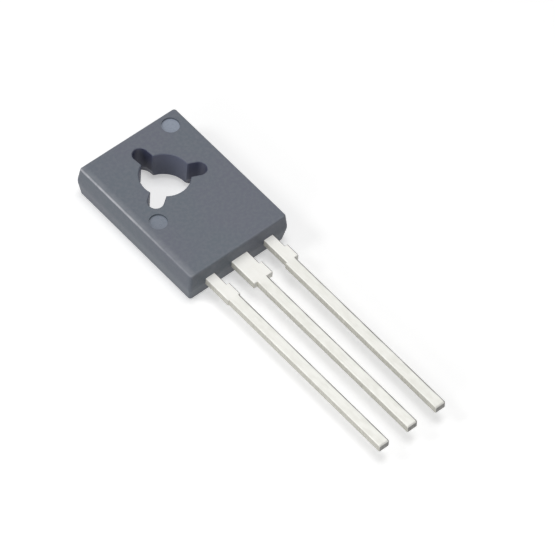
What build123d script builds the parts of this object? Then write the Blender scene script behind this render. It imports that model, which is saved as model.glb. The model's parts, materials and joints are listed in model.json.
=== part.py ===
from build123d import *
import os
from math import atan2, degrees, radians, tan

# Flat three-lead power transistor, lying on its mounting face with the leads towards -Y.
# The origin is the axis of the screw hole in the plane of the mounting face. Lengths are in millimetres.

# Moulded body, measured at the parting line, where it is widest before its edges are softened
BODY_WIDTH = 7.75
BODY_LENGTH = 10.75
BODY_THICKNESS = 2.4
FRONT_DRAFT_DEGREES = 6.2
BACK_DRAFT_DEGREES = 9.0
CORNER_RADIUS = 0.2
FRONT_EDGE_RADIUS = 0.12
BACK_EDGE_RADIUS = 0.18
PARTING_RADIUS = 1.2

# Screw hole with three lobes, bevelled finely at the front; at the back it is relieved and the lobes flare
HOLE_FROM_FAR_END = 3.72
HOLE_DIAMETER = 3.2
LOBE_COUNT = 3
LOBE_WIDTH = 1.0
LOBE_SETOUT = 0.52
LOBE_START_DEGREES = 95.0
CUSP_RADIUS = 0.03
FRONT_BEVEL = 0.05
FRONT_BEVEL_DEGREES = 45.0
RELIEF_WIDTH = 0.3
RELIEF_HEIGHT = 0.4
FLARE_WIDTH = 0.3
FLARE_HEIGHT = 0.8

# Round ejector marks in the front face
MARK_DIAMETER = 1.16
MARK_DEPTH = 0.12
FAR_MARK_FROM_SIDE = 1.17
FAR_MARK_FROM_END = 1.0
NEAR_MARK_FROM_SIDE = 1.29
NEAR_MARK_FROM_END = 4.55

# Lead frame, stamped from one sheet
SHEET_THICKNESS = 0.5
ROLLED_EDGE_RADIUS = 0.06
TIP_EDGE_RADIUS = 0.16
LEAD_STANDOFF = 1.0
LEAD_PITCH = 2.2
LEAD_WIDTH = 0.76
LEAD_LENGTH = 15.65
ROOT_WIDTH = 0.73
ROOT_SHIFT = 0.09
NECK_WIDTH = 1.26
NECK_RUN = 1.2
DAM_BAR_FROM_BODY = 1.05
DAM_BAR_WIDTH = 1.02
DAM_BAR_STUB = 0.2

# Bond posts at the inner ends of the outer leads
POST_LENGTH = 0.95
POST_COVER = 0.5
POST_GAP = 0.35
POST_OVERHANG = 0.3

# Copper tab in the mounting face, from the thick part of the strip, with a round opening for the lined screw hole
TAB_THICKNESS = 0.9
TAB_RIM = 0.35
TAB_CORNER_RADIUS = 0.3
TAB_LOCK_WIDTH = 0.15
TAB_LOCK_HEIGHT = 0.3
TAB_TO_POST = 0.35
TAB_BRIDGE = 0.3

# Chip on its solder, and the two bond wires
DIE_SIZE = 1.8
DIE_THICKNESS = 0.25
DIE_FROM_TAB_END = 0.3
SOLDER_THICKNESS = 0.06
SOLDER_MARGIN = 0.1
BOND_PAD_INSET = 0.5
WIRE_DIAMETER = 0.2
WIRE_LOOP_HEIGHT = 0.35
WIRE_BEND_RADIUS = 0.4
WIRE_KNEE_SHARES = (0.3, 0.7)
FOOT_LENGTH = 0.5
FOOT_WIDTH = 0.3
FOOT_THICKNESS = 0.08

# Places worked out from the sizes above
HOLE_RADIUS = HOLE_DIAMETER / 2
LOBE_CENTRE = HOLE_RADIUS + LOBE_SETOUT
FLARE_CENTRE = LOBE_CENTRE - FLARE_WIDTH / 2
FLARE_DEGREES = degrees(atan2(FLARE_WIDTH, FLARE_HEIGHT))
LEAD_TOP = LEAD_STANDOFF + SHEET_THICKNESS
PARTING_HEIGHT = LEAD_STANDOFF + SHEET_THICKNESS / 2
FRONT_INSET = (BODY_THICKNESS - PARTING_HEIGHT) * tan(radians(FRONT_DRAFT_DEGREES))
BACK_INSET = PARTING_HEIGHT * tan(radians(BACK_DRAFT_DEGREES))
FAR_END = HOLE_FROM_FAR_END
LEAD_END = FAR_END - BODY_LENGTH
BODY_MIDDLE = (FAR_END + LEAD_END) / 2
LEAD_TIP = LEAD_END - LEAD_LENGTH
STUB_START = LEAD_END - DAM_BAR_FROM_BODY
STUB_END = STUB_START - DAM_BAR_WIDTH
ROOT_MIDDLE = LEAD_PITCH + ROOT_SHIFT
POST_OUTER = LEAD_END + POST_COVER
POST_INNER = POST_OUTER + POST_LENGTH
POST_NEAR_SIDE = NECK_WIDTH / 2 + POST_GAP
POST_FAR_SIDE = ROOT_MIDDLE + ROOT_WIDTH / 2 + POST_OVERHANG
TAB_HALF_WIDTH = BODY_WIDTH / 2 - BACK_INSET - TAB_RIM
TAB_FAR_END = FAR_END - BACK_INSET - TAB_RIM
TAB_LEAD_END = POST_INNER + TAB_TO_POST
TAB_OPENING_RADIUS = min(TAB_HALF_WIDTH - TAB_LOCK_WIDTH, TAB_FAR_END) - TAB_BRIDGE
NECK_TOP_END = TAB_LEAD_END - NECK_RUN
DIE_BASE = TAB_THICKNESS + SOLDER_THICKNESS
DIE_TOP = DIE_BASE + DIE_THICKNESS
DIE_MIDDLE = TAB_LEAD_END + DIE_FROM_TAB_END + DIE_SIZE / 2


def lobes(centre, width):
    # Three slots that run out from the hole's axis; the centre is that of a slot's round outer end
    return PolarLocations(centre / 2, LOBE_COUNT, LOBE_START_DEGREES) * SlotCenterToCenter(centre, width)


def body_section(height, inset):
    outline = RectangleRounded(BODY_WIDTH - 2 * inset, BODY_LENGTH - 2 * inset, CORNER_RADIUS)
    return Pos(0, BODY_MIDDLE, height) * outline


def body_block():
    # Two drafted halves that meet at the parting line, softened there and at the front and back edges
    parting = body_section(PARTING_HEIGHT, 0)
    block = loft([body_section(0, BACK_INSET), parting], ruled=True)
    block += loft([parting, body_section(BODY_THICKNESS, FRONT_INSET)], ruled=True)
    waist = block.edges().filter_by_position(Axis.Z, PARTING_HEIGHT, PARTING_HEIGHT)
    block = fillet(waist, PARTING_RADIUS)
    block = fillet(block.edges().group_by(Axis.Z)[-1], FRONT_EDGE_RADIUS)
    return fillet(block.edges().group_by(Axis.Z)[0], BACK_EDGE_RADIUS)


def screw_hole(block):
    # Lobed hole right through with softened cusps; bevels and flares are cut shape by shape, so that they mitre
    shapes = [Rot(0, 0, LOBE_START_DEGREES) * Circle(HOLE_RADIUS), *lobes(LOBE_CENTRE, LOBE_WIDTH)]
    outline = Sketch() + shapes
    cusps = outline.vertices().group_by(SortBy.DISTANCE)[0]
    block -= extrude(fillet(cusps, CUSP_RADIUS), BODY_THICKNESS)
    for shape in shapes:
        shape = Pos(0, 0, BODY_THICKNESS - FRONT_BEVEL) * shape
        block -= extrude(shape, FRONT_BEVEL, taper=-FRONT_BEVEL_DEGREES)
    for shape in lobes(FLARE_CENTRE, LOBE_WIDTH + 2 * FLARE_WIDTH):
        block -= extrude(shape, FLARE_HEIGHT, taper=FLARE_DEGREES)
    relief = Cone(HOLE_RADIUS + RELIEF_WIDTH, HOLE_RADIUS, RELIEF_HEIGHT)
    return block - Pos(0, 0, RELIEF_HEIGHT / 2) * relief


def ejector_marks():
    side = BODY_WIDTH / 2
    places = [
        (side - FAR_MARK_FROM_SIDE, FAR_END - FAR_MARK_FROM_END),
        (NEAR_MARK_FROM_SIDE - side, LEAD_END + NEAR_MARK_FROM_END),
    ]
    pocket = Cylinder(MARK_DIAMETER / 2, 2 * MARK_DEPTH)
    return [Pos(x, y, BODY_THICKNESS) * pocket for x, y in places]


def lead_outline(root_middle, root_width, lead_middle, inner_end):
    # Seen from the front: the root, the trimmed stub of the dam bar on its right, then the slim lead
    root_left = root_middle - root_width / 2
    root_right = root_middle + root_width / 2
    left = lead_middle - LEAD_WIDTH / 2
    right = lead_middle + LEAD_WIDTH / 2
    stub = root_right + DAM_BAR_STUB
    points = [
        (root_left, inner_end),
        (root_left, STUB_END),
        (left, STUB_END),
        (left, LEAD_TIP),
        (right, LEAD_TIP),
        (right, STUB_END),
        (stub, STUB_END),
        (stub, STUB_START),
        (root_right, STUB_START),
        (root_right, inner_end),
    ]
    return make_face(Polyline(*points, close=True))


def stamped(outline, joined=False):
    # Sheet at lead height, with the rolled edges that the punch leaves on its upper side and at the tip.
    # An inner end that is joined to more of the sheet has no edge of its own to roll.
    sheet = extrude(Pos(0, 0, LEAD_STANDOFF) * outline, SHEET_THICKNESS)
    tip = sheet.edges().group_by(Axis.Z)[-1].sort_by(Axis.Y)[0]
    sheet = fillet(tip, TIP_EDGE_RADIUS)
    rolled = sheet.faces().sort_by(Axis.Z)[-1].edges().sort_by(Axis.Y)
    if joined:
        rolled = rolled[:-1]
    return fillet(rolled, ROLLED_EDGE_RADIUS)


def outer_lead(side):
    # One outer lead with its wide bond post; side is -1 for the left lead and 1 for the right one
    outline = lead_outline(side * ROOT_MIDDLE, ROOT_WIDTH, side * LEAD_PITCH, POST_OUTER)
    near = side * POST_NEAR_SIDE
    far = side * POST_FAR_SIDE
    post = Rectangle(abs(far - near), POST_LENGTH)
    outline += Pos((near + far) / 2, (POST_OUTER + POST_INNER) / 2) * post
    return stamped(outline)


def collector_tab():
    # Tab with a round opening about the screw hole, narrower at the mounting face to lock it in
    width = 2 * TAB_HALF_WIDTH
    length = TAB_FAR_END - TAB_LEAD_END
    middle = Pos(0, (TAB_FAR_END + TAB_LEAD_END) / 2)
    opening = Circle(TAB_OPENING_RADIUS)
    full = middle * RectangleRounded(width, length, TAB_CORNER_RADIUS) - opening
    exposed = middle * RectangleRounded(width - 2 * TAB_LOCK_WIDTH, length, TAB_CORNER_RADIUS) - opening
    tab = extrude(exposed, TAB_LOCK_HEIGHT)
    return tab + extrude(Pos(0, 0, TAB_LOCK_HEIGHT) * full, TAB_THICKNESS - TAB_LOCK_HEIGHT)


def collector_neck():
    # Double bend from the top of the tab up to lead height: two equal arcs that meet half-way
    start = (TAB_LEAD_END, TAB_THICKNESS - SHEET_THICKNESS / 2)
    end = (NECK_TOP_END, PARTING_HEIGHT)
    half_way = tuple((a + b) / 2 for a, b in zip(start, end))
    rising = TangentArc(start, half_way, tangent=(-1, 0))
    levelling = TangentArc(end, half_way, tangent=(1, 0))
    band = trace(Curve() + [rising, levelling], SHEET_THICKNESS)
    return extrude(Plane.YZ * band, NECK_WIDTH / 2, both=True)


def collector_tab_lead():
    lead = stamped(lead_outline(0, NECK_WIDTH, 0, NECK_TOP_END), joined=True)
    return collector_tab() + collector_neck() + lead


def silicon_die():
    return Pos(0, DIE_MIDDLE, DIE_BASE + DIE_THICKNESS / 2) * Box(DIE_SIZE, DIE_SIZE, DIE_THICKNESS)


def die_solder():
    # Solder spreads a little past the chip on every side
    size = DIE_SIZE + 2 * SOLDER_MARGIN
    return Pos(0, DIE_MIDDLE, TAB_THICKNESS + SOLDER_THICKNESS / 2) * Box(size, size, SOLDER_THICKNESS)


def bond_wire(side):
    # Looped wire with a flattened foot on the chip and another on the post, and two knees between them
    pad = DIE_SIZE / 2 - BOND_PAD_INSET
    start = Vector(side * pad, DIE_MIDDLE - pad, DIE_TOP + FOOT_THICKNESS / 2)
    post_middle = side * (POST_NEAR_SIDE + POST_FAR_SIDE) / 2
    end = Vector(post_middle, (POST_OUTER + POST_INNER) / 2, LEAD_TOP + FOOT_THICKNESS / 2)
    run = end - start
    knees = [start + run * share for share in WIRE_KNEE_SHARES]
    knees = [Vector(knee.X, knee.Y, LEAD_TOP + WIRE_LOOP_HEIGHT) for knee in knees]
    path = FilletPolyline(start, *knees, end, radius=WIRE_BEND_RADIUS)
    wire = sweep(Plane(path @ 0, z_dir=path % 0) * Circle(WIRE_DIAMETER / 2), path)
    heading = Rot(0, 0, degrees(atan2(run.Y, run.X)))
    foot = heading * Box(FOOT_LENGTH, FOOT_WIDTH, FOOT_THICKNESS)
    for place in (start, end):
        wire += Pos(*place) * foot
    return wire


tab_lead = collector_tab_lead()
emitter = outer_lead(-1)
base = outer_lead(1)
solder = die_solder()
die = silicon_die()
emitter_bond = bond_wire(-1) - die - emitter
base_bond = bond_wire(1) - die - base
inserts = [tab_lead, emitter, base, solder, die, emitter_bond, base_bond]
body = screw_hole(body_block()) - ejector_marks() - inserts

nodes = {
    "moulded_body": body,
    "collector_tab_lead": tab_lead,
    "emitter_lead": emitter,
    "base_lead": base,
    "die_solder": solder,
    "silicon_die": die,
    "emitter_wire": emitter_bond,
    "base_wire": base_bond,
}
os.makedirs("parts", exist_ok=True)
for name, shape in nodes.items():
    export_step(shape, f"parts/{name}.step")
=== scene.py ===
# %% [markdown]
# # A flat power transistor, finished over its measured solids
# The part lies on its back: a dark moulded body with a lobed screw hole, and three tinned leads.
# Every solid arrives at its true size and place, in metres, with the screw hole's axis at the origin.
# This lesson only adds what the eye needs: a camera, a floor, soft light and a finish for each surface.

# %% Load the solids
import json
import math

import bpy
from mathutils import Euler, Matrix, Vector


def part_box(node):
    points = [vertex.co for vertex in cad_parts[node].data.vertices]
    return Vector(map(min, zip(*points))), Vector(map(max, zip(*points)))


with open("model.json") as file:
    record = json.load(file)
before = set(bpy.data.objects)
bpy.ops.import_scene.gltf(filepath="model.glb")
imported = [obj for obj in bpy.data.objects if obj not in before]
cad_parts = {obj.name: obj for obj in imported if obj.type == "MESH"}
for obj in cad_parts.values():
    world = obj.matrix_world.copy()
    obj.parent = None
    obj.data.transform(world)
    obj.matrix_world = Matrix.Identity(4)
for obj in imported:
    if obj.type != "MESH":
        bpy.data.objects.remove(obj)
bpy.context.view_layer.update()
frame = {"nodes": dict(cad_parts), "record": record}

bpy.ops.object.select_all(action="DESELECT")
print("solids:", sorted(frame["nodes"]))

# %% [markdown]
# ## Measuring the body before painting it
# A finish sits well only if it knows where the piece is. The places could be typed in as numbers, but then
# they would be wrong once the part is made in another size, so they are read from the mesh instead.
# Its corners at the top give the front face, and flat rings just below that face are the two ejector marks.

# %% Measure the body
MM = 0.001
TINY = 0.00001
MARK_SEARCH_SHARE = 1 / 12


def corners_of(node):
    return [v.co for v in frame["nodes"][node].data.vertices]


def box_of(points):
    low = Vector(min(p[i] for p in points) for i in range(3))
    high = Vector(max(p[i] for p in points) for i in range(3))
    return low, high


def mark_floors(corners):
    # The marks are sunk by about a twentieth of the thickness, one on either side of the middle line
    reach = (body_high.z - body_low.z) * MARK_SEARCH_SHARE
    sunk = [c for c in corners if body_high.z - reach < c.z < body_high.z - reach / 2]
    lowest = min(c.z for c in sunk)
    sunk = [c for c in sunk if c.z < lowest + TINY]
    found = []
    for side in (1, -1):
        low, high = box_of([c for c in sunk if c.x * side > 0])
        found.append(((low + high) / 2, (high.x - low.x) / 2))
    return found


body_low, body_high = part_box("moulded_body")
body_corners = corners_of("moulded_body")
front_low, front_high = box_of([c for c in body_corners if c.z > body_high.z - TINY])
far_mark, near_mark = mark_floors(body_corners)
hole_radius = frame["record"]["mounts"][0]["dims"]["r_mm"] * MM
print("front face", [round(v / MM, 2) for v in (*front_low.xy, *front_high.xy)], "mm")
for centre, radius in (far_mark, near_mark):
    print("mark at", [round(v / MM, 2) for v in centre], "mm, radius", round(radius / MM, 2), "mm")

# %% [markdown]
# ## Measuring the leads
# The slim leads are alike and evenly spaced, so one of them and the step to the next describe them all.
# Their roots differ, so those are left out of this. The trimmed stub stands out to the right of a lead,
# and the slim stretch begins where it ends, so that place is read from the mesh as well.

# %% Measure the leads
TIP_REACH = 0.2 * MM
STUB_SLACK = 3 * TINY
lead_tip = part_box("emitter_lead")[0].y


def tip_width(node):
    # The lowest and highest X of a lead near its end, far enough back to take in its full width
    across = [c.x for c in corners_of(node) if c.y < lead_tip + TIP_REACH]
    return min(across), max(across)


lead_low, lead_high = tip_width("collector_tab_lead")
lead_half = (lead_high - lead_low) / 2
lead_pitch = tip_width("base_lead")[0] - lead_low
stub_end = min(c.y for c in corners_of("collector_tab_lead") if c.x > lead_high + STUB_SLACK)
print("leads", round(2 * lead_half / MM, 2), "mm wide and", round(lead_pitch / MM, 2), "mm apart")
print("slim stretch from", round(stub_end / MM, 2), "to", round(lead_tip / MM, 2), "mm")

# %% [markdown]
# ## The camera
# The part was pictured from above its left front corner through a long lens, so its edges run nearly
# parallel. A camera could be turned by eye, but here the angles and the aim were found by matching corners
# of the body, the hole and the lead tips. One picture can't tell length from tilt, so the body was taken at
# the length that is usual for it. A small roll levels the picture as it was held.

# %% Place the camera
VIEW_AZIMUTH = math.radians(-44.116)
VIEW_ELEVATION = math.radians(53.409)
VIEW_ROLL = math.radians(4.406)
VIEW_DISTANCE = 300 * MM
VIEW_AIM = Vector((0.908, -9.458, 1.2)) * MM
LENS = 325.7

turn = Euler((math.pi / 2 - VIEW_ELEVATION, 0, VIEW_AZIMUTH)).to_matrix()
turn = turn @ Matrix.Rotation(VIEW_ROLL, 3, "Z")
bpy.ops.object.camera_add(location=VIEW_AIM + turn.col[2] * VIEW_DISTANCE, rotation=turn.to_euler())
camera = bpy.context.object
camera.name = "photo_camera"
camera.data.lens = LENS
camera.data.clip_start = VIEW_DISTANCE / 10
camera.data.clip_end = VIEW_DISTANCE * 100
bpy.context.scene.camera = camera
print("camera at", [round(v / MM, 1) for v in camera.location], "mm")

# %% [markdown]
# ## The floor
# The part lies on white card. A plain floor with a high colour would do, but the card also has to come out
# white in the picture while the part's shadow stays on it. So the floor is a pale matt surface with a glow
# that only the picture and reflections see, and it scatters less light than it shows.

# %% Lay the floor
CARD_SIZE = 4
CARD_SCATTERED = (0.5, 0.5, 0.5, 1)
CARD_SEEN = (0.8, 0.8, 0.8, 1)
CARD_GLOW = 0.45


def plug(tree, value, socket):
    # A value goes straight into the socket, and the output of another node is linked to it
    if isinstance(value, bpy.types.NodeSocket):
        tree.links.new(value, socket)
    else:
        socket.default_value = value


def maths(tree, operation, *values):
    step = tree.nodes.new("ShaderNodeMath")
    step.operation = operation
    for value, socket in zip(values, step.inputs):
        plug(tree, value, socket)
    return step.outputs[0]


def seen_directly(tree):
    # One for rays of the picture, of reflections and of see-through surfaces, nought for scattered light
    path = tree.nodes.new("ShaderNodeLightPath").outputs
    shiny = maths(tree, "MAXIMUM", path["Is Glossy Ray"], path["Is Transmission Ray"])
    return maths(tree, "MAXIMUM", path["Is Camera Ray"], shiny)


def choose_by_ray(tree, scattered, seen):
    choose = tree.nodes.new("ShaderNodeMixShader")
    tree.links.new(seen_directly(tree), choose.inputs["Fac"])
    tree.links.new(scattered.outputs[0], choose.inputs[1])
    tree.links.new(seen.outputs[0], choose.inputs[2])
    return choose.outputs[0]


def white_card():
    card = bpy.data.materials.new("white_card")
    card.use_nodes = True
    tree = card.node_tree
    tree.nodes.clear()
    dull = tree.nodes.new("ShaderNodeBsdfDiffuse")
    dull.inputs["Color"].default_value = CARD_SCATTERED
    matt = tree.nodes.new("ShaderNodeBsdfDiffuse")
    matt.inputs["Color"].default_value = CARD_SEEN
    glow = tree.nodes.new("ShaderNodeEmission")
    glow.inputs["Strength"].default_value = CARD_GLOW
    bright = tree.nodes.new("ShaderNodeAddShader")
    tree.links.new(matt.outputs[0], bright.inputs[0])
    tree.links.new(glow.outputs[0], bright.inputs[1])
    surface = tree.nodes.new("ShaderNodeOutputMaterial")
    tree.links.new(choose_by_ray(tree, dull, bright), surface.inputs["Surface"])
    return card


card_height = body_low.z - TINY
bpy.ops.mesh.primitive_plane_add(size=CARD_SIZE, location=(0, 0, card_height))
floor = bpy.context.object
floor.name = "white_card"
bpy.ops.object.transform_apply(location=True, rotation=False, scale=False)
floor.data.materials.append(white_card())
print("floor at", round(card_height / MM, 3), "mm")

# %% [markdown]
# ## The light
# A single sun would light the part, but its shadows have hard edges, and soft ones suit a small object on
# card. So one wide lamp hangs almost overhead. A low one at the left lights the long sides of the body and
# the leads, and a smaller one above it draws the shine along the body's left edge. A dim even sky fills
# the rest, and it is white where the picture or a reflection sees it.

# %% Hang the lamps
SKY_LIGHT = 0.18
WHITE = (1, 1, 1, 1)
LAMP_DISTANCE = 150 * MM


def white_room():
    room = bpy.data.worlds.new("white_room")
    room.use_nodes = True
    tree = room.node_tree
    tree.nodes.clear()
    dim = tree.nodes.new("ShaderNodeBackground")
    dim.inputs["Color"].default_value = WHITE
    dim.inputs["Strength"].default_value = SKY_LIGHT
    bright = tree.nodes.new("ShaderNodeBackground")
    bright.inputs["Color"].default_value = WHITE
    sky = tree.nodes.new("ShaderNodeOutputWorld")
    tree.links.new(choose_by_ray(tree, dim, bright), sky.inputs["Surface"])
    return room


def soft_lamp(name, direction, size, radiance):
    # A square lamp that faces the part; its power follows from how bright its face should look
    place = Vector(direction).normalized() * LAMP_DISTANCE + VIEW_AIM
    aim = (VIEW_AIM - place).to_track_quat("-Z", "Y")
    bpy.ops.object.light_add(type="AREA", location=place, rotation=aim.to_euler())
    lamp = bpy.context.object
    lamp.name = name
    lamp.data.size = size
    lamp.data.energy = radiance * math.pi * size * size
    print(name, "power", round(lamp.data.energy, 3), "W")


bpy.context.scene.world = white_room()
soft_lamp("overhead_lamp", direction=(0.06, 0.08, 1), size=80 * MM, radiance=4.7)
soft_lamp("low_lamp", direction=(-0.93, -0.2, 0.28), size=75 * MM, radiance=3.8)
soft_lamp("left_lamp", direction=(-0.6, 0.43, 0.68), size=40 * MM, radiance=8)
bpy.context.scene.view_settings.view_transform = "Standard"

# %% [markdown]
# ## Small helpers for finishes
# A finish is a chain of little steps: find a place, make a pattern there, mix two colours by it. The chain
# could be wired by hand in the shader editor, but a script can be read and changed, so each kind of step
# gets one short function. The patterns follow the place on the piece in metres, so they keep their size.

# %% Write the helpers
GRAIN_DETAIL = 2


def rise(tree, value, low, high):
    # Nought at the low value, one at the high value, and a soft ramp between them
    step = tree.nodes.new("ShaderNodeMapRange")
    step.interpolation_type = "SMOOTHSTEP"
    plug(tree, value, step.inputs["Value"])
    plug(tree, low, step.inputs["From Min"])
    plug(tree, high, step.inputs["From Max"])
    return step.outputs["Result"]


def between(tree, share, low, high):
    # A number that follows a share between nought and one
    step = tree.nodes.new("ShaderNodeMapRange")
    plug(tree, share, step.inputs["Value"])
    plug(tree, low, step.inputs["To Min"])
    plug(tree, high, step.inputs["To Max"])
    return step.outputs["Result"]


def blend(tree, share, first, second):
    step = tree.nodes.new("ShaderNodeMix")
    step.data_type = "RGBA"
    plug(tree, share, step.inputs[0])
    plug(tree, first, step.inputs[6])
    plug(tree, second, step.inputs[7])
    return step.outputs[2]


def grain(tree, place, size, stretch=(1, 1, 1)):
    # Cloudy pattern with grains about as big as the size, drawn out along the axes by the stretch
    squeeze = tree.nodes.new("ShaderNodeMapping")
    squeeze.inputs["Scale"].default_value = [1 / (size * s) for s in stretch]
    tree.links.new(place, squeeze.inputs["Vector"])
    step = tree.nodes.new("ShaderNodeTexNoise")
    step.inputs["Scale"].default_value = 1
    step.inputs["Detail"].default_value = GRAIN_DETAIL
    tree.links.new(squeeze.outputs[0], step.inputs["Vector"])
    return step.outputs[0]


def patches(tree, place, size, steps, stretch=(1, 1, 1)):
    # Soft patches: nought where the grain is under the first step, one where it is over the second
    return rise(tree, grain(tree, place, size, stretch), *steps)


def bump(tree, height, strength, depth):
    step = tree.nodes.new("ShaderNodeBump")
    step.inputs["Strength"].default_value = strength
    step.inputs["Distance"].default_value = depth
    tree.links.new(height, step.inputs["Height"])
    return step.outputs[0]


def new_finish(name):
    # A finish with its tree, its shader and the place on the piece, in metres, whole and split into axes
    finish = bpy.data.materials.new(name)
    finish.use_nodes = True
    tree = finish.node_tree
    place = tree.nodes.new("ShaderNodeTexCoord").outputs["Object"]
    axes = tree.nodes.new("ShaderNodeSeparateXYZ")
    tree.links.new(place, axes.inputs[0])
    return finish, tree, tree.nodes["Principled BSDF"], place, axes.outputs


print("helpers:", [helper.__name__ for helper in (rise, between, blend, grain, patches, bump, new_finish)])

# %% [markdown]
# ## Places on the body
# The resin looks different in the hole, on the ejector marks and along the rim of the front. Each place
# could be a material of its own on picked faces, but then it would end in a hard line. A mask that is one
# at the place and nought elsewhere fades softly, so each place gets a function that works out such a mask.

# %% Mark out the places
MARK_EDGE_SHARE = 0.94
LOBE_REACH_SHARES = (1.74, 1.7)
WALL_STEPS = (TINY, 6 * TINY)
SHARP_HIGHLIGHT = (0.12 * MM, -0.05 * MM)
WIDE_HIGHLIGHT = (0.5 * MM, 0.1 * MM)
WIDE_HIGHLIGHT_SHARE = 0.2
HIGHLIGHT_STEPS = (0.1 * MM, 0.03 * MM)
FULL_HIGHLIGHT_FROM_END = 4 * MM


def away_from(tree, axes, centre):
    # How far a place is from an upright line through the centre
    across = maths(tree, "SUBTRACT", axes["X"], centre.x)
    along = maths(tree, "SUBTRACT", axes["Y"], centre.y)
    across = maths(tree, "MULTIPLY", across, across)
    along = maths(tree, "MULTIPLY", along, along)
    return maths(tree, "SQRT", maths(tree, "ADD", across, along))


def hole_wall(tree, axes, away):
    # One on the wall of the hole and its lobes, where shade is painted, nought on the front and back faces
    # and further out
    shallow, deep = WALL_STEPS
    above_back = rise(tree, axes["Z"], body_low.z + shallow, body_low.z + deep)
    below_front = rise(tree, axes["Z"], body_high.z - shallow, body_high.z - deep)
    within = rise(tree, away, *(hole_radius * share for share in LOBE_REACH_SHARES))
    return maths(tree, "MULTIPLY", within, maths(tree, "MULTIPLY", above_back, below_front))


def pin_mark(tree, axes, mark):
    # One on the floor of a mark and nought elsewhere
    centre, radius = mark
    inside = rise(tree, away_from(tree, axes, centre), radius, radius * MARK_EDGE_SHARE)
    deep = rise(tree, axes["Z"], body_high.z - TINY, centre.z + TINY)
    return maths(tree, "MULTIPLY", inside, deep)


def front_rim(tree, axes, width):
    # One along the rim of the front face and nought further in or further down
    inward = maths(tree, "SUBTRACT", axes["X"], front_low.x)
    inward = maths(tree, "MINIMUM", inward, maths(tree, "SUBTRACT", front_high.x, axes["X"]))
    inward = maths(tree, "MINIMUM", inward, maths(tree, "SUBTRACT", axes["Y"], front_low.y))
    inward = maths(tree, "MINIMUM", inward, maths(tree, "SUBTRACT", front_high.y, axes["Y"]))
    near = rise(tree, inward, width, 0)
    high = rise(tree, axes["Z"], body_high.z - 2 * width, body_high.z - width)
    return maths(tree, "MULTIPLY", near, high)


def left_edge_highlight(tree, axes):
    # Painted highlight, strongest on the left edge of the front face, most of all at its far half, and
    # fading out further in
    inward = maths(tree, "SUBTRACT", axes["X"], front_low.x)
    along = rise(tree, axes["Y"], front_low.y, front_high.y - FULL_HIGHLIGHT_FROM_END)
    sharp = maths(tree, "MULTIPLY", rise(tree, inward, *SHARP_HIGHLIGHT), along)
    wide = maths(tree, "MULTIPLY", rise(tree, inward, *WIDE_HIGHLIGHT), WIDE_HIGHLIGHT_SHARE)
    high = rise(tree, axes["Z"], *(body_high.z - step for step in HIGHLIGHT_STEPS))
    return maths(tree, "MULTIPLY", maths(tree, "MAXIMUM", sharp, wide), high)


print("places:", [mask.__name__ for mask in (hole_wall, pin_mark, front_rim, left_edge_highlight)])

# %% [markdown]
# ## The moulded resin
# The body is epoxy pressed in a steel mould: dark blue-grey, matt, with a very fine eroded grain. One flat
# colour would look painted, so slow clouds of a greener and a purpler grey lie under a fine paler mottle.
# The rim of the front is a little paler, as wear and a faint painted highlight, and its left edge has a
# strong painted highlight.
# The wall of the hole is painted darker and bluer as shade, and most of all in the lobes. Ejector pins are
# polished, so the floors of their marks are smoother than the rest, and both are painted paler as a
# reflected sheen, the far one most.

# %% Finish the body
GREEN_GREY = (0.118, 0.141, 0.170, 1)
PURPLE_GREY = (0.127, 0.137, 0.175, 1)
MOTTLE_GREY = (0.143, 0.158, 0.187, 1)
HOLE_SHADE_BLUE = (0.103, 0.118, 0.183, 1)
LOBE_SHADE_BLUE = (0.060, 0.068, 0.122, 1)
RIM_WEAR_AND_SHEEN_GREY = (0.22, 0.23, 0.25, 1)
LEFT_EDGE_HIGHLIGHT_GREY = (0.5, 0.51, 0.545, 1)
MARK_SHEEN_GREY = (0.3, 0.34, 0.415, 1)
LOBE_START_SHARES = (1.02, 1.12)
# Patches have the size of their grains and the two steps of their ramp
RESIN_CLOUDS = (4 * MM, (0.35, 0.65))
WEAR_AND_SHEEN_SPOTS = (0.5 * MM, (0.3, 0.6))
LEAST_WEAR_AND_SHEEN = 0.6
MOTTLE_SIZE = 0.22 * MM
MOTTLE_STEPS = (0.35, 0.7)
PIT_SIZE = 0.05 * MM
RESIN_RELIEF = 0.01 * MM
RESIN_BUMP = 0.15
RIM_WIDTH = 0.1 * MM
RIM_SHARE = 0.2
FAR_MARK_SHEEN_SHARE = 1
NEAR_MARK_SHEEN_SHARE = 0.5
RESIN_ROUGHNESS = (0.42, 0.54)
POLISH = 0.2


def resin_colour(tree, place, mottle):
    clouds = patches(tree, place, *RESIN_CLOUDS)
    colour = blend(tree, clouds, GREEN_GREY, PURPLE_GREY)
    return blend(tree, rise(tree, mottle, *MOTTLE_STEPS), colour, MOTTLE_GREY)


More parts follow.
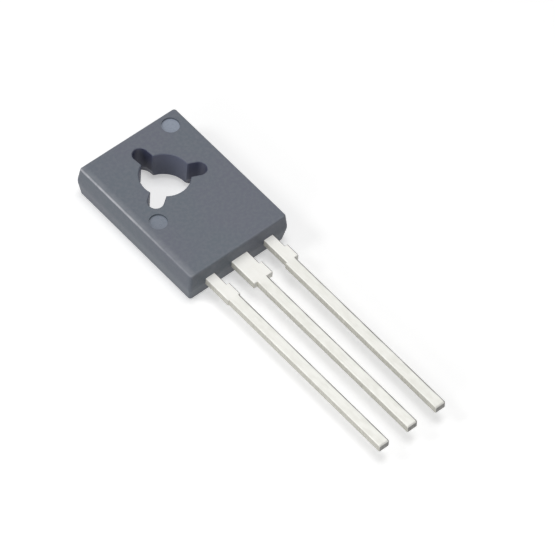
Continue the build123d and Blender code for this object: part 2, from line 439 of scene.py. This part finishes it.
def moulded_resin():
    finish, tree, shader, place, axes = new_finish("moulded_resin")
    mottle = grain(tree, place, MOTTLE_SIZE)
    colour = resin_colour(tree, place, mottle)
    away = away_from(tree, axes, Vector((0, 0)))
    # Painted shade: the wall of the hole is darker and bluer, and darkest deep in the lobes
    in_lobe = rise(tree, away, *(hole_radius * share for share in LOBE_START_SHARES))
    wall_shade = blend(tree, in_lobe, HOLE_SHADE_BLUE, LOBE_SHADE_BLUE)
    colour = blend(tree, hole_wall(tree, axes, away), colour, wall_shade)
    # Rim wear together with a faint painted highlight, broken into patches
    wear_and_sheen_breakup = between(tree, patches(tree, place, *WEAR_AND_SHEEN_SPOTS), LEAST_WEAR_AND_SHEEN, 1)
    rim_wear_and_sheen = maths(tree, "MULTIPLY", front_rim(tree, axes, RIM_WIDTH), wear_and_sheen_breakup)
    colour = blend(tree, maths(tree, "MULTIPLY", rim_wear_and_sheen, RIM_SHARE), colour, RIM_WEAR_AND_SHEEN_GREY)
    # Painted highlight along the left edge of the front; the same mask also makes that edge smoother
    highlight_and_polish = maths(tree, "MULTIPLY", left_edge_highlight(tree, axes), wear_and_sheen_breakup)
    colour = blend(tree, highlight_and_polish, colour, LEFT_EDGE_HIGHLIGHT_GREY)
    # Painted sheen: the mark floors are paler, as if they reflect light, and their polish makes them
    # smoother
    for mark, share in ((far_mark, FAR_MARK_SHEEN_SHARE), (near_mark, NEAR_MARK_SHEEN_SHARE)):
        polish_and_sheen = pin_mark(tree, axes, mark)
        highlight_and_polish = maths(tree, "MAXIMUM", highlight_and_polish, polish_and_sheen)
        colour = blend(tree, maths(tree, "MULTIPLY", polish_and_sheen, share), colour, MARK_SHEEN_GREY)
    plug(tree, colour, shader.inputs["Base Color"])
    rough = between(tree, mottle, *RESIN_ROUGHNESS)
    rough = maths(tree, "SUBTRACT", rough, maths(tree, "MULTIPLY", highlight_and_polish, POLISH))
    plug(tree, rough, shader.inputs["Roughness"])
    relief = maths(tree, "ADD", grain(tree, place, PIT_SIZE), mottle)
    plug(tree, bump(tree, relief, RESIN_BUMP, RESIN_RELIEF), shader.inputs["Normal"])
    return finish


resin = moulded_resin()
print(resin.name, "has", len(resin.node_tree.nodes), "steps")

# %% [markdown]
# ## Places on the leads
# A punched lead has a smooth top, streaky sides, rounded upper edges and a cut end. The way that the surface
# looks tells most of these apart on any lead, so one set of masks can serve all three. The painted dark
# reflection along the right of each lead also needs the place across it, which repeats from lead to lead
# with their spacing.

# %% Tell the faces of a lead apart
LINE_FROM_EDGE = (0.118 * MM, 0.068 * MM)
LINE_FADE = 0.1 * MM
LINE_BREAKS = (0.3 * MM, (0.35, 0.6), (1, 6, 1))
LINE_SHARES = (0.4, 0.9)
END_STEPS = (3 * TINY, TINY)
# How far a surface has to look along an axis, from the start of the ramp to its end
SIDE_FACING = (0.55, 0.9)
EDGE_FACING = (0.05, 0.3)
EDGE_END_FACING = (0.99, 0.85)
TOP_FACING = (0.5, 0.8)
END_FACING = (-0.75, -0.97)


def facing_of(tree):
    # The direction that the surface looks in, split into axes
    facing = tree.nodes.new("ShaderNodeSeparateXYZ")
    tree.links.new(tree.nodes.new("ShaderNodeNewGeometry").outputs["Normal"], facing.inputs[0])
    return facing.outputs


def punched_side(tree, facing):
    # One on the left and right faces, whose greyer colour is partly painted shade
    return rise(tree, maths(tree, "ABSOLUTE", facing["X"]), *SIDE_FACING)


def rolled_edge(tree, facing):
    # One on the rounded edge between the top and the right face, where a dark reflection is painted
    past_top = rise(tree, facing["X"], *EDGE_FACING)
    before_side = rise(tree, facing["X"], *EDGE_END_FACING)
    return maths(tree, "MULTIPLY", past_top, before_side)


def right_reflection_line(tree, place, axes, facing):
    # A broken line of painted dark reflection on the top of the slim stretch, beside its right edge
    across = maths(tree, "WRAP", axes["X"], lead_pitch / 2, -lead_pitch / 2)
    line = rise(tree, across, *(lead_half - step for step in LINE_FROM_EDGE))
    line = maths(tree, "MULTIPLY", line, rise(tree, axes["Y"], stub_end, stub_end - LINE_FADE))
    line = maths(tree, "MULTIPLY", line, rise(tree, facing["Z"], *TOP_FACING))
    broken = between(tree, patches(tree, place, *LINE_BREAKS), *LINE_SHARES)
    return maths(tree, "MULTIPLY", line, broken)


def cut_end(tree, axes, facing):
    # One on the end face of a tip
    outward = rise(tree, facing["Y"], *END_FACING)
    near_tip = rise(tree, axes["Y"], *(lead_tip + step for step in END_STEPS))
    return maths(tree, "MULTIPLY", outward, near_tip)


print("faces:", [mask.__name__ for mask in (punched_side, rolled_edge, right_reflection_line, cut_end)])

# %% [markdown]
# ## The tinned copper
# The leads and the tab are copper sheet with dull tin on it, cream-white with faint grey clouds and fine
# lines along the leads from handling, and paler near the body as painted light that lifts the body's shade.
# Polished metal would mirror the room, but dull tin scatters most of its light, so the finish is mostly matt
# with only a little metal in it. The punched sides are greyer, partly as painted shade, with short upright
# streaks. The tips are cut off last, so their end faces are grey bare metal inside a rim of tin.

# %% Finish the lead frame
TIN_CREAM = (0.935, 0.93, 0.88, 1)
TIN_CLOUD = (0.87, 0.865, 0.81, 1)
TIN_LINES = (0.7, 0.69, 0.65, 1)
TIN_ROOT_LIGHT = (0.98, 0.97, 0.93, 1)
PUNCHED_SHADED_PALE = (0.72, 0.71, 0.64, 1)
PUNCHED_SHADED_DARK = (0.60, 0.59, 0.53, 1)
EDGE_REFLECTION_DARK = (0.05, 0.049, 0.046, 1)
LINE_REFLECTION_DARK = (0.15, 0.148, 0.14, 1)
CUT_PALE = (0.46, 0.45, 0.43, 1)
CUT_DARK = (0.32, 0.315, 0.3, 1)
# Patches on the tin are drawn out as well, so a stretch follows their size and steps
TIN_CLOUDS = (0.35 * MM, (0.35, 0.7), (1, 2, 1))
HANDLING_LINES = (0.05 * MM, (0.5, 0.75), (1, 40, 1))
UPRIGHT_STREAKS = (0.06 * MM, (0.3, 0.7), (1, 1, 8))
LINES_SHARE = 0.25
ROOT_LIGHT_SHARE = 0.65
ROOT_LIGHT_START = 0.4 * MM
ROOT_LIGHT_FULL = 0.2 * MM
TIN_METAL = 0.2
EDGE_METAL = 0.1
TIN_ROUGHNESS = (0.42, 0.55)
LINES_ROUGHNESS = 0.08
LINES_RELIEF = 0.4
TIN_RELIEF = 0.006 * MM
TIN_BUMP = 0.3


def tin_top(tree, axes, clouds, lines):
    # The colour of the flat tin, before the edges and ends
    colour = blend(tree, clouds, TIN_CREAM, TIN_CLOUD)
    colour = blend(tree, maths(tree, "MULTIPLY", lines, LINES_SHARE), colour, TIN_LINES)
    # Painted light: the tin is paler near the body to lift the shade that the body throws on it
    root_light = rise(tree, axes["Y"], stub_end - ROOT_LIGHT_START, stub_end + ROOT_LIGHT_FULL)
    return blend(tree, maths(tree, "MULTIPLY", root_light, ROOT_LIGHT_SHARE), colour, TIN_ROOT_LIGHT)


def matt_tin():
    finish, tree, shader, place, axes = new_finish("matt_tin")
    facing = facing_of(tree)
    clouds = patches(tree, place, *TIN_CLOUDS)
    lines = patches(tree, place, *HANDLING_LINES)
    streaks = patches(tree, place, *UPRIGHT_STREAKS)
    colour = tin_top(tree, axes, clouds, lines)
    # Streaky punched sides, greyer partly as painted shade
    punched_and_shade = blend(tree, streaks, PUNCHED_SHADED_PALE, PUNCHED_SHADED_DARK)
    colour = blend(tree, punched_side(tree, facing), colour, punched_and_shade)
    # Painted dark reflection on the rounded right edge and in a broken line beside it
    dark_edge_reflection = rolled_edge(tree, facing)
    colour = blend(tree, dark_edge_reflection, colour, EDGE_REFLECTION_DARK)
    colour = blend(tree, right_reflection_line(tree, place, axes, facing), colour, LINE_REFLECTION_DARK)
    ends = cut_end(tree, axes, facing)
    colour = blend(tree, ends, colour, blend(tree, streaks, CUT_PALE, CUT_DARK))
    plug(tree, colour, shader.inputs["Base Color"])
    cut_end_and_dark_edge = maths(tree, "MAXIMUM", ends, dark_edge_reflection)
    plug(tree, between(tree, cut_end_and_dark_edge, TIN_METAL, EDGE_METAL), shader.inputs["Metallic"])
    rough = between(tree, clouds, *TIN_ROUGHNESS)
    rough = maths(tree, "ADD", rough, maths(tree, "MULTIPLY", lines, LINES_ROUGHNESS))
    plug(tree, rough, shader.inputs["Roughness"])
    relief = maths(tree, "ADD", clouds, maths(tree, "MULTIPLY", lines, LINES_RELIEF))
    plug(tree, bump(tree, relief, TIN_BUMP, TIN_RELIEF), shader.inputs["Normal"])
    return finish


tin = matt_tin()
print(tin.name, "has", len(tin.node_tree.nodes), "steps")

# %% [markdown]
# ## The hidden pieces
# Solder, chip and wires lie inside the resin and could stay plain, but a piece that is taken out of its body
# should still look right. The solder is dull and lumpy, the chip is a polished dark plate with faint clouds,
# and the wires show the fine lines of the die that they were drawn through. Solder and wire differ only in
# their numbers, so one function makes both.

# %% Finish the hidden pieces
SOLDER_DARK = (0.3, 0.3, 0.3, 1)
SOLDER_PALE = (0.42, 0.42, 0.41, 1)
WIRE_DARK = (0.62, 0.62, 0.62, 1)
WIRE_PALE = (0.78, 0.78, 0.77, 1)
CHIP_DARK = (0.05, 0.055, 0.07, 1)
CHIP_PALE = (0.075, 0.08, 0.095, 1)
CHIP_CLOUDS = (0.4 * MM, (0.3, 0.7))
CHIP_ROUGHNESS = (0.12, 0.2)
SOLDER_LUMPS = (0.2 * MM, (0.3, 0.7))
SOLDER_ROUGHNESS = 0.45
WIRE_LINES = (0.03 * MM, (0.3, 0.7), (20, 20, 1))
WIRE_ROUGHNESS = 0.25
ROUGHNESS_SPREAD = 0.12
RELIEF_SHARE = 1 / 20
METAL_BUMP = 0.3


def plain_metal(name, dark, pale, pattern, roughness):
    # Metal with lumps or lines that follow the pattern, as deep as a share of its grain size
    finish, tree, shader, place, _ = new_finish(name)
    clouds = patches(tree, place, *pattern)
    plug(tree, blend(tree, clouds, dark, pale), shader.inputs["Base Color"])
    plug(tree, between(tree, clouds, roughness, roughness + ROUGHNESS_SPREAD), shader.inputs["Roughness"])
    plug(tree, bump(tree, clouds, METAL_BUMP, pattern[0] * RELIEF_SHARE), shader.inputs["Normal"])
    shader.inputs["Metallic"].default_value = 1
    return finish


def polished_chip():
    finish, tree, shader, place, _ = new_finish("polished_chip")
    clouds = patches(tree, place, *CHIP_CLOUDS)
    plug(tree, blend(tree, clouds, CHIP_DARK, CHIP_PALE), shader.inputs["Base Color"])
    plug(tree, between(tree, clouds, *CHIP_ROUGHNESS), shader.inputs["Roughness"])
    return finish


solder = plain_metal("dull_solder", SOLDER_DARK, SOLDER_PALE, SOLDER_LUMPS, SOLDER_ROUGHNESS)
wire = plain_metal("drawn_wire", WIRE_DARK, WIRE_PALE, WIRE_LINES, WIRE_ROUGHNESS)
chip = polished_chip()
for finish in (solder, wire, chip):
    print(finish.name, "has", len(finish.node_tree.nodes), "steps")

# %% [markdown]
# ## Dressing the pieces
# Every solid already has a material slot. A solid could be covered by a new mesh, but its own shape is
# right, so the mesh stays as it is and only the finish in its slot is changed. The tab and the leads are
# plated together on the real strip, so they share one finish.

# %% Dress the pieces
FINISHES = {
    "moulded_body": resin,
    "collector_tab_lead": tin,
    "emitter_lead": tin,
    "base_lead": tin,
    "die_solder": solder,
    "silicon_die": chip,
    "emitter_wire": wire,
    "base_wire": wire,
}
for node, finish in FINISHES.items():
    for slot in frame["nodes"][node].material_slots:
        slot.material = finish
    print(node, "has", finish.name)
